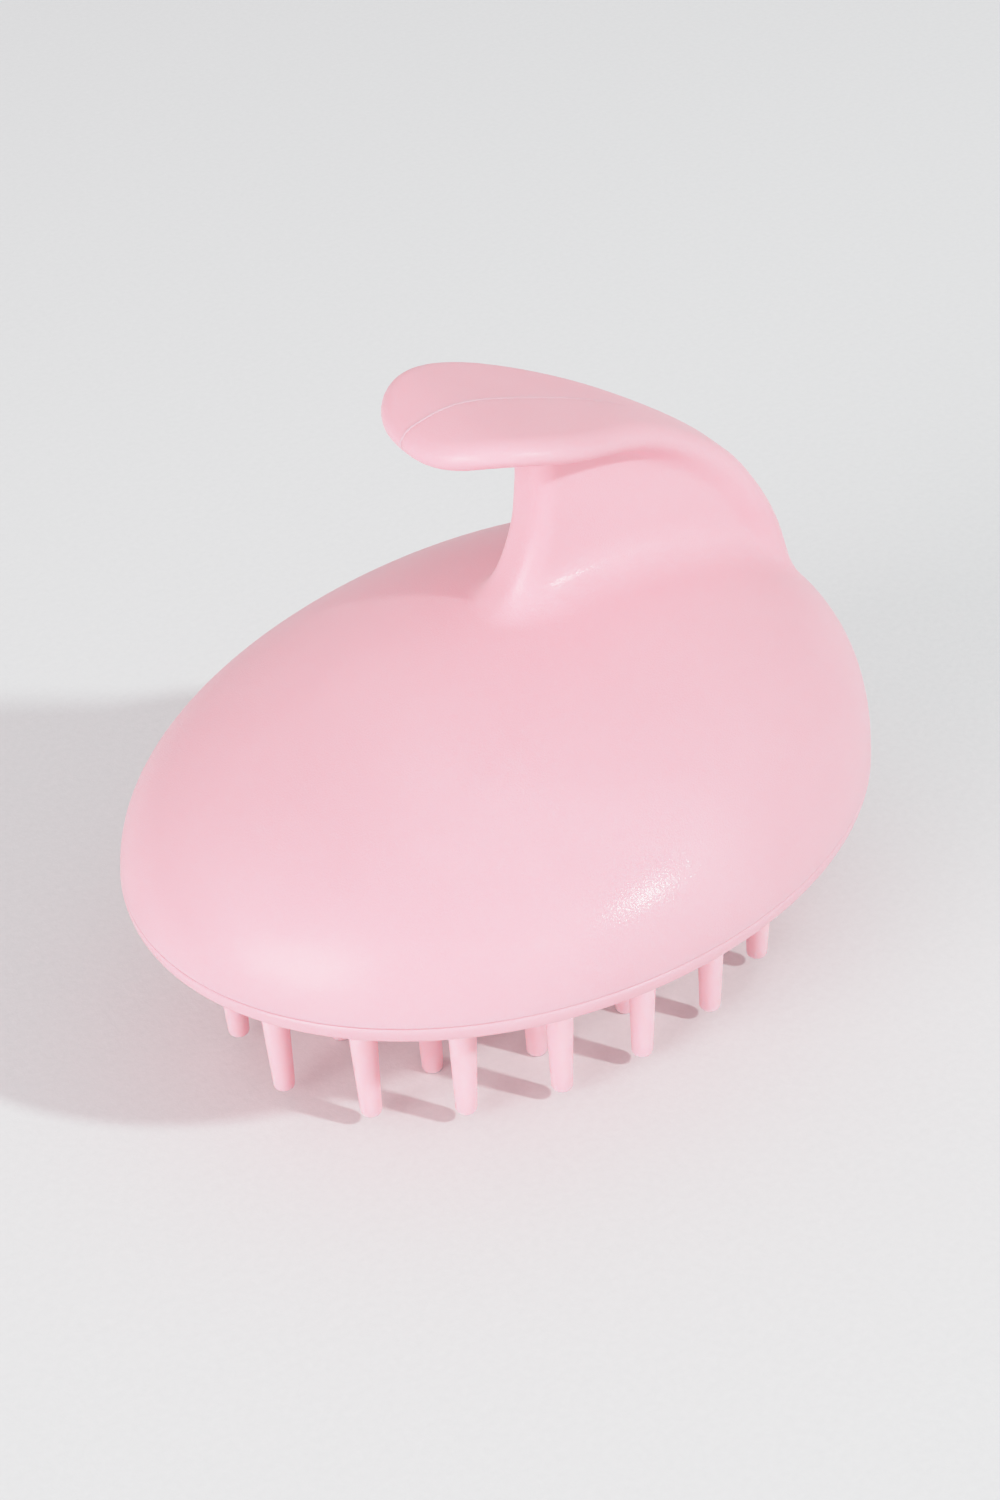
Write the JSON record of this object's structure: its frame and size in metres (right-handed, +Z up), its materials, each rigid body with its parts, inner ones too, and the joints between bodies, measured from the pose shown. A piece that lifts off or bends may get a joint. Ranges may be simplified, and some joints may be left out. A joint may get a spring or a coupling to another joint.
{
  "type": "scalp massager brush",
  "caption": "Palm-held scalp massager: a domed oval shell with an overhanging finger paddle on a web, over a pad of soft tapered bristles that bend.",
  "frame": {"origin": "centre of the bounding box's bottom, on the surface that the bristle tips stand on", "axes": "+X along the long axis towards the rear, where the web runs into the dome; the paddle's tip points to -X; +Z up"},
  "size_m": [0.1046, 0.083, 0.0881],
  "materials": {
    "shell": "satin moulded pink plastic with a fine grain",
    "silicone": "soft translucent pink silicone",
    "inner_plastic": "plain moulded plastic"
  },
  "bodies": {
    "head": {"shell": "shell", "bristle_pad": "silicone", "retainer_plate": "inner_plastic"},
    "bristle_outer_01": {"bristle_outer_01": "silicone"},
    "bristle_outer_02": {"bristle_outer_02": "silicone"},
    "bristle_outer_03": {"bristle_outer_03": "silicone"},
    "bristle_outer_04": {"bristle_outer_04": "silicone"},
    "bristle_outer_05": {"bristle_outer_05": "silicone"},
    "bristle_outer_06": {"bristle_outer_06": "silicone"},
    "bristle_outer_07": {"bristle_outer_07": "silicone"},
    "bristle_outer_08": {"bristle_outer_08": "silicone"},
    "bristle_outer_09": {"bristle_outer_09": "silicone"},
    "bristle_outer_10": {"bristle_outer_10": "silicone"},
    "bristle_outer_11": {"bristle_outer_11": "silicone"},
    "bristle_outer_12": {"bristle_outer_12": "silicone"},
    "bristle_outer_13": {"bristle_outer_13": "silicone"},
    "bristle_outer_14": {"bristle_outer_14": "silicone"},
    "bristle_outer_15": {"bristle_outer_15": "silicone"},
    "bristle_outer_16": {"bristle_outer_16": "silicone"},
    "bristle_outer_17": {"bristle_outer_17": "silicone"},
    "bristle_inner_01": {"bristle_inner_01": "silicone"},
    "bristle_inner_02": {"bristle_inner_02": "silicone"},
    "bristle_inner_03": {"bristle_inner_03": "silicone"},
    "bristle_inner_04": {"bristle_inner_04": "silicone"},
    "bristle_inner_05": {"bristle_inner_05": "silicone"},
    "bristle_inner_06": {"bristle_inner_06": "silicone"},
    "bristle_inner_07": {"bristle_inner_07": "silicone"},
    "bristle_inner_08": {"bristle_inner_08": "silicone"},
    "bristle_inner_09": {"bristle_inner_09": "silicone"},
    "bristle_inner_10": {"bristle_inner_10": "silicone"},
    "bristle_centre_01": {"bristle_centre_01": "silicone"},
    "bristle_centre_02": {"bristle_centre_02": "silicone"},
    "bristle_centre_03": {"bristle_centre_03": "silicone"}
  },
  "joints": [
    {"name": "bristle_outer_01_bend", "type": "hinge", "parent": "head", "child": "bristle_outer_01", "pos_m": [0.04058, 0, 0.0234], "axis": [0, -1, 0], "range_deg": [-18, 18], "stiffness_Nm_per_rad": 0.003},
    {"name": "bristle_outer_02_bend", "type": "hinge", "parent": "head", "child": "bristle_outer_02", "pos_m": [0.03624, 0.0122, 0.0234], "axis": [0.5493, -0.8356, 0], "range_deg": [-18, 18], "stiffness_Nm_per_rad": 0.003},
    {"name": "bristle_outer_03_bend", "type": "hinge", "parent": "head", "child": "bristle_outer_03", "pos_m": [0.02665, 0.02061, 0.0234], "axis": [0.8338, -0.5521, 0], "range_deg": [-18, 18], "stiffness_Nm_per_rad": 0.003},
    {"name": "bristle_outer_04_bend", "type": "hinge", "parent": "head", "child": "bristle_outer_04", "pos_m": [0.01506, 0.02567, 0.0234], "axis": [0.9577, -0.2878, 0], "range_deg": [-18, 18], "stiffness_Nm_per_rad": 0.003},
    {"name": "bristle_outer_05_bend", "type": "hinge", "parent": "head", "child": "bristle_outer_05", "pos_m": [0.00266, 0.02794, 0.0234], "axis": [0.9988, -0.0487, 0], "range_deg": [-18, 18], "stiffness_Nm_per_rad": 0.003},
    {"name": "bristle_outer_06_bend", "type": "hinge", "parent": "head", "child": "bristle_outer_06", "pos_m": [-0.00986, 0.02752, 0.0234], "axis": [0.9836, 0.1804, 0], "range_deg": [-18, 18], "stiffness_Nm_per_rad": 0.003},
    {"name": "bristle_outer_07_bend", "type": "hinge", "parent": "head", "child": "bristle_outer_07", "pos_m": [-0.02204, 0.02413, 0.0234], "axis": [0.9058, 0.4237, 0], "range_deg": [-18, 18], "stiffness_Nm_per_rad": 0.003},
    {"name": "bristle_outer_08_bend", "type": "hinge", "parent": "head", "child": "bristle_outer_08", "pos_m": [-0.03267, 0.01724, 0.0234], "axis": [0.7177, 0.6964, 0], "range_deg": [-18, 18], "stiffness_Nm_per_rad": 0.003},
    {"name": "bristle_outer_09_bend", "type": "hinge", "parent": "head", "child": "bristle_outer_09", "pos_m": [-0.03958, 0.00645, 0.0234], "axis": [0.303, 0.953, 0], "range_deg": [-18, 18], "stiffness_Nm_per_rad": 0.003},
    {"name": "bristle_outer_10_bend", "type": "hinge", "parent": "head", "child": "bristle_outer_10", "pos_m": [-0.03957, -0.00649, 0.0234], "axis": [-0.3052, 0.9523, 0], "range_deg": [-18, 18], "stiffness_Nm_per_rad": 0.003},
    {"name": "bristle_outer_11_bend", "type": "hinge", "parent": "head", "child": "bristle_outer_11", "pos_m": [-0.03263, -0.01728, 0.0234], "axis": [-0.719, 0.6951, 0], "range_deg": [-18, 18], "stiffness_Nm_per_rad": 0.003},
    {"name": "bristle_outer_12_bend", "type": "hinge", "parent": "head", "child": "bristle_outer_12", "pos_m": [-0.02198, -0.02416, 0.0234], "axis": [-0.9064, 0.4224, 0], "range_deg": [-18, 18], "stiffness_Nm_per_rad": 0.003},
    {"name": "bristle_outer_13_bend", "type": "hinge", "parent": "head", "child": "bristle_outer_13", "pos_m": [-0.00979, -0.02753, 0.0234], "axis": [-0.9838, 0.1792, 0], "range_deg": [-18, 18], "stiffness_Nm_per_rad": 0.003},
    {"name": "bristle_outer_14_bend", "type": "hinge", "parent": "head", "child": "bristle_outer_14", "pos_m": [0.00273, -0.02794, 0.0234], "axis": [-0.9987, -0.05, 0], "range_deg": [-18, 18], "stiffness_Nm_per_rad": 0.003},
    {"name": "bristle_outer_15_bend", "type": "hinge", "parent": "head", "child": "bristle_outer_15", "pos_m": [0.01513, -0.02565, 0.0234], "axis": [-0.9573, -0.2891, 0], "range_deg": [-18, 18], "stiffness_Nm_per_rad": 0.003},
    {"name": "bristle_outer_16_bend", "type": "hinge", "parent": "head", "child": "bristle_outer_16", "pos_m": [0.0267, -0.02058, 0.0234], "axis": [-0.8329, -0.5534, 0], "range_deg": [-18, 18], "stiffness_Nm_per_rad": 0.003},
    {"name": "bristle_outer_17_bend", "type": "hinge", "parent": "head", "child": "bristle_outer_17", "pos_m": [0.03627, -0.01216, 0.0234], "axis": [-0.5476, -0.8367, 0], "range_deg": [-18, 18], "stiffness_Nm_per_rad": 0.003},
    {"name": "bristle_inner_01_bend", "type": "hinge", "parent": "head", "child": "bristle_inner_01", "pos_m": [0.0272, 0, 0.0234], "axis": [0, -1, 0], "range_deg": [-18, 18], "stiffness_Nm_per_rad": 0.003},
    {"name": "bristle_inner_02_bend", "type": "hinge", "parent": "head", "child": "bristle_inner_02", "pos_m": [0.01985, 0.01195, 0.0234], "axis": [0.8087, -0.5883, 0], "range_deg": [-18, 18], "stiffness_Nm_per_rad": 0.003},
    {"name": "bristle_inner_03_bend", "type": "hinge", "parent": "head", "child": "bristle_inner_03", "pos_m": [0.00675, 0.01726, 0.0234], "axis": [0.9856, -0.1689, 0], "range_deg": [-18, 18], "stiffness_Nm_per_rad": 0.003},
    {"name": "bristle_inner_04_bend", "type": "hinge", "parent": "head", "child": "bristle_inner_04", "pos_m": [-0.00734, 0.01754, 0.0234], "axis": [0.9836, 0.1804, 0], "range_deg": [-18, 18], "stiffness_Nm_per_rad": 0.003},
    {"name": "bristle_inner_05_bend", "type": "hinge", "parent": "head", "child": "bristle_inner_05", "pos_m": [-0.02042, 0.01229, 0.0234], "axis": [0.8085, 0.5884, 0], "range_deg": [-18, 18], "stiffness_Nm_per_rad": 0.003},
    {"name": "bristle_inner_06_bend", "type": "hinge", "parent": "head", "child": "bristle_inner_06", "pos_m": [-0.0272, 0, 0.0234], "axis": [0, 1, 0], "range_deg": [-18, 18], "stiffness_Nm_per_rad": 0.003},
    {"name": "bristle_inner_07_bend", "type": "hinge", "parent": "head", "child": "bristle_inner_07", "pos_m": [-0.02039, -0.01231, 0.0234], "axis": [-0.8095, 0.5871, 0], "range_deg": [-18, 18], "stiffness_Nm_per_rad": 0.003},
    {"name": "bristle_inner_08_bend", "type": "hinge", "parent": "head", "child": "bristle_inner_08", "pos_m": [-0.0073, -0.01754, 0.0234], "axis": [-0.9838, 0.1792, 0], "range_deg": [-18, 18], "stiffness_Nm_per_rad": 0.003},
    {"name": "bristle_inner_09_bend", "type": "hinge", "parent": "head", "child": "bristle_inner_09", "pos_m": [0.0068, -0.01725, 0.0234], "axis": [-0.9854, -0.1701, 0], "range_deg": [-18, 18], "stiffness_Nm_per_rad": 0.003},
    {"name": "bristle_inner_10_bend", "type": "hinge", "parent": "head", "child": "bristle_inner_10", "pos_m": [0.01988, -0.01193, 0.0234], "axis": [-0.8077, -0.5896, 0], "range_deg": [-18, 18], "stiffness_Nm_per_rad": 0.003},
    {"name": "bristle_centre_01_bend", "type": "hinge", "parent": "head", "child": "bristle_centre_01", "pos_m": [-0.0132, 0, 0.0234], "axis": [0, 1, 0], "range_deg": [-18, 18], "stiffness_Nm_per_rad": 0.003},
    {"name": "bristle_centre_02_bend", "type": "hinge", "parent": "head", "child": "bristle_centre_02", "pos_m": [0, 0, 0.0234], "axis": [1, 0, 0], "range_deg": [-18, 18], "stiffness_Nm_per_rad": 0.003},
    {"name": "bristle_centre_03_bend", "type": "hinge", "parent": "head", "child": "bristle_centre_03", "pos_m": [0.0132, 0, 0.0234], "axis": [0, -1, 0], "range_deg": [-18, 18], "stiffness_Nm_per_rad": 0.003}
  ]
}
